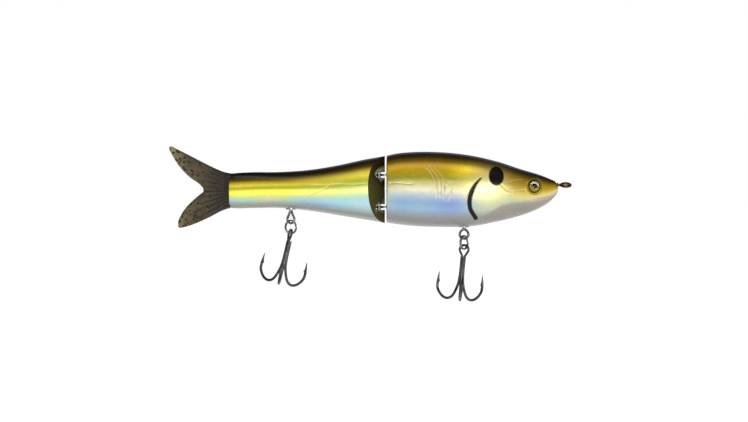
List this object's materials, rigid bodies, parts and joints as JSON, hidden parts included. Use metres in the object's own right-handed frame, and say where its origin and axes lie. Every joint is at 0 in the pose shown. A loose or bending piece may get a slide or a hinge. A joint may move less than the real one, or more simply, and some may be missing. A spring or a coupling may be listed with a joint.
{
  "type": "jointed swimbait lure",
  "caption": "Two-section hard glide swimbait with a vertical pinned hinge, soft forked tail and treble hooks on split rings and swivelling hangers.",
  "frame": {"origin": "centre of the line tie's wire loop at the nose", "axes": "+X out of the nose (forward), +Z toward the back (up when it swims), +Y toward the fish's left"},
  "size_m": [0.1735, 0.0224, 0.0673],
  "materials": {
    "painted_shell": "clear-coated ABS, pearl belly, gold flank, dark back",
    "ballast": "turned, plain",
    "steel_wire": "drawn stainless wire",
    "steel_pin": "ground stainless",
    "ring_steel": "nickel plated",
    "eye_print": "printed silver iris, black pupil and rim",
    "eye_clear": "clear cast resin",
    "barrel_brass": "turned",
    "hook_black_nickel": "black nickel over hardened steel",
    "soft_tail": "soft plastisol with dark flake"
  },
  "bodies": {
    "head": {"head_shell_right": "painted_shell", "head_shell_left": "painted_shell", "head_ballast_front": "ballast", "head_ballast_rear": "ballast", "line_tie": "steel_wire", "hinge_eye_upper": "steel_wire", "hinge_eye_lower": "steel_wire", "eye_disc_right": "eye_print", "eye_disc_left": "eye_print", "eye_dome_right": "eye_clear", "eye_dome_left": "eye_clear", "front_hanger_barrel": "barrel_brass"},
    "rear_section": {"rear_shell_right": "painted_shell", "rear_shell_left": "painted_shell", "rear_ballast": "ballast", "hinge_pin": "steel_pin", "rear_hanger_barrel": "barrel_brass", "tail_root": "soft_tail"},
    "tail": {"tail_fin": "soft_tail"},
    "front_hanger": {"front_hanger": "steel_wire"},
    "front_ring": {"front_split_ring": "ring_steel"},
    "front_treble": {"front_treble_double": "hook_black_nickel", "front_treble_single": "hook_black_nickel"},
    "rear_hanger": {"rear_hanger": "steel_wire"},
    "rear_ring": {"rear_split_ring": "ring_steel"},
    "rear_treble": {"rear_treble_double": "hook_black_nickel", "rear_treble_single": "hook_black_nickel"}
  },
  "joints": [
    {"name": "body_hinge", "type": "hinge", "parent": "head", "child": "rear_section", "pos_m": [-0.0805, 0, 0], "axis": [0, 0, 1], "range_deg": [-36, 36]},
    {"name": "tail_flex", "type": "hinge", "parent": "rear_section", "child": "tail", "pos_m": [-0.1492, 0, 0], "axis": [0, 0, 1], "range_deg": [-25, 25], "stiffness_Nm_per_rad": 0.002},
    {"name": "front_hanger_swivel", "type": "hinge", "parent": "head", "child": "front_hanger", "pos_m": [-0.0438, 0, -0.02103], "axis": [0, 0, 1], "continuous": true},
    {"name": "front_ring_swing", "type": "hinge", "parent": "front_hanger", "child": "front_ring", "pos_m": [-0.0438, 0, -0.02313], "axis": [0.866, -0.5, 0], "range_deg": [-30, 30]},
    {"name": "front_treble_swing", "type": "hinge", "parent": "front_ring", "child": "front_treble", "pos_m": [-0.0438, 0, -0.02766], "axis": [0.5592, 0.829, 0], "range_deg": [-40, 40]},
    {"name": "rear_hanger_swivel", "type": "hinge", "parent": "rear_section", "child": "rear_hanger", "pos_m": [-0.11843, 0, -0.01441], "axis": [0, 0, 1], "continuous": true},
    {"name": "rear_ring_swing", "type": "hinge", "parent": "rear_hanger", "child": "rear_ring", "pos_m": [-0.11843, 0, -0.01651], "axis": [0.7431, -0.6691, 0], "range_deg": [-30, 30]},
    {"name": "rear_treble_swing", "type": "hinge", "parent": "rear_ring", "child": "rear_treble", "pos_m": [-0.11843, 0, -0.02104], "axis": [0.7431, 0.6691, 0], "range_deg": [-40, 40]}
  ]
}
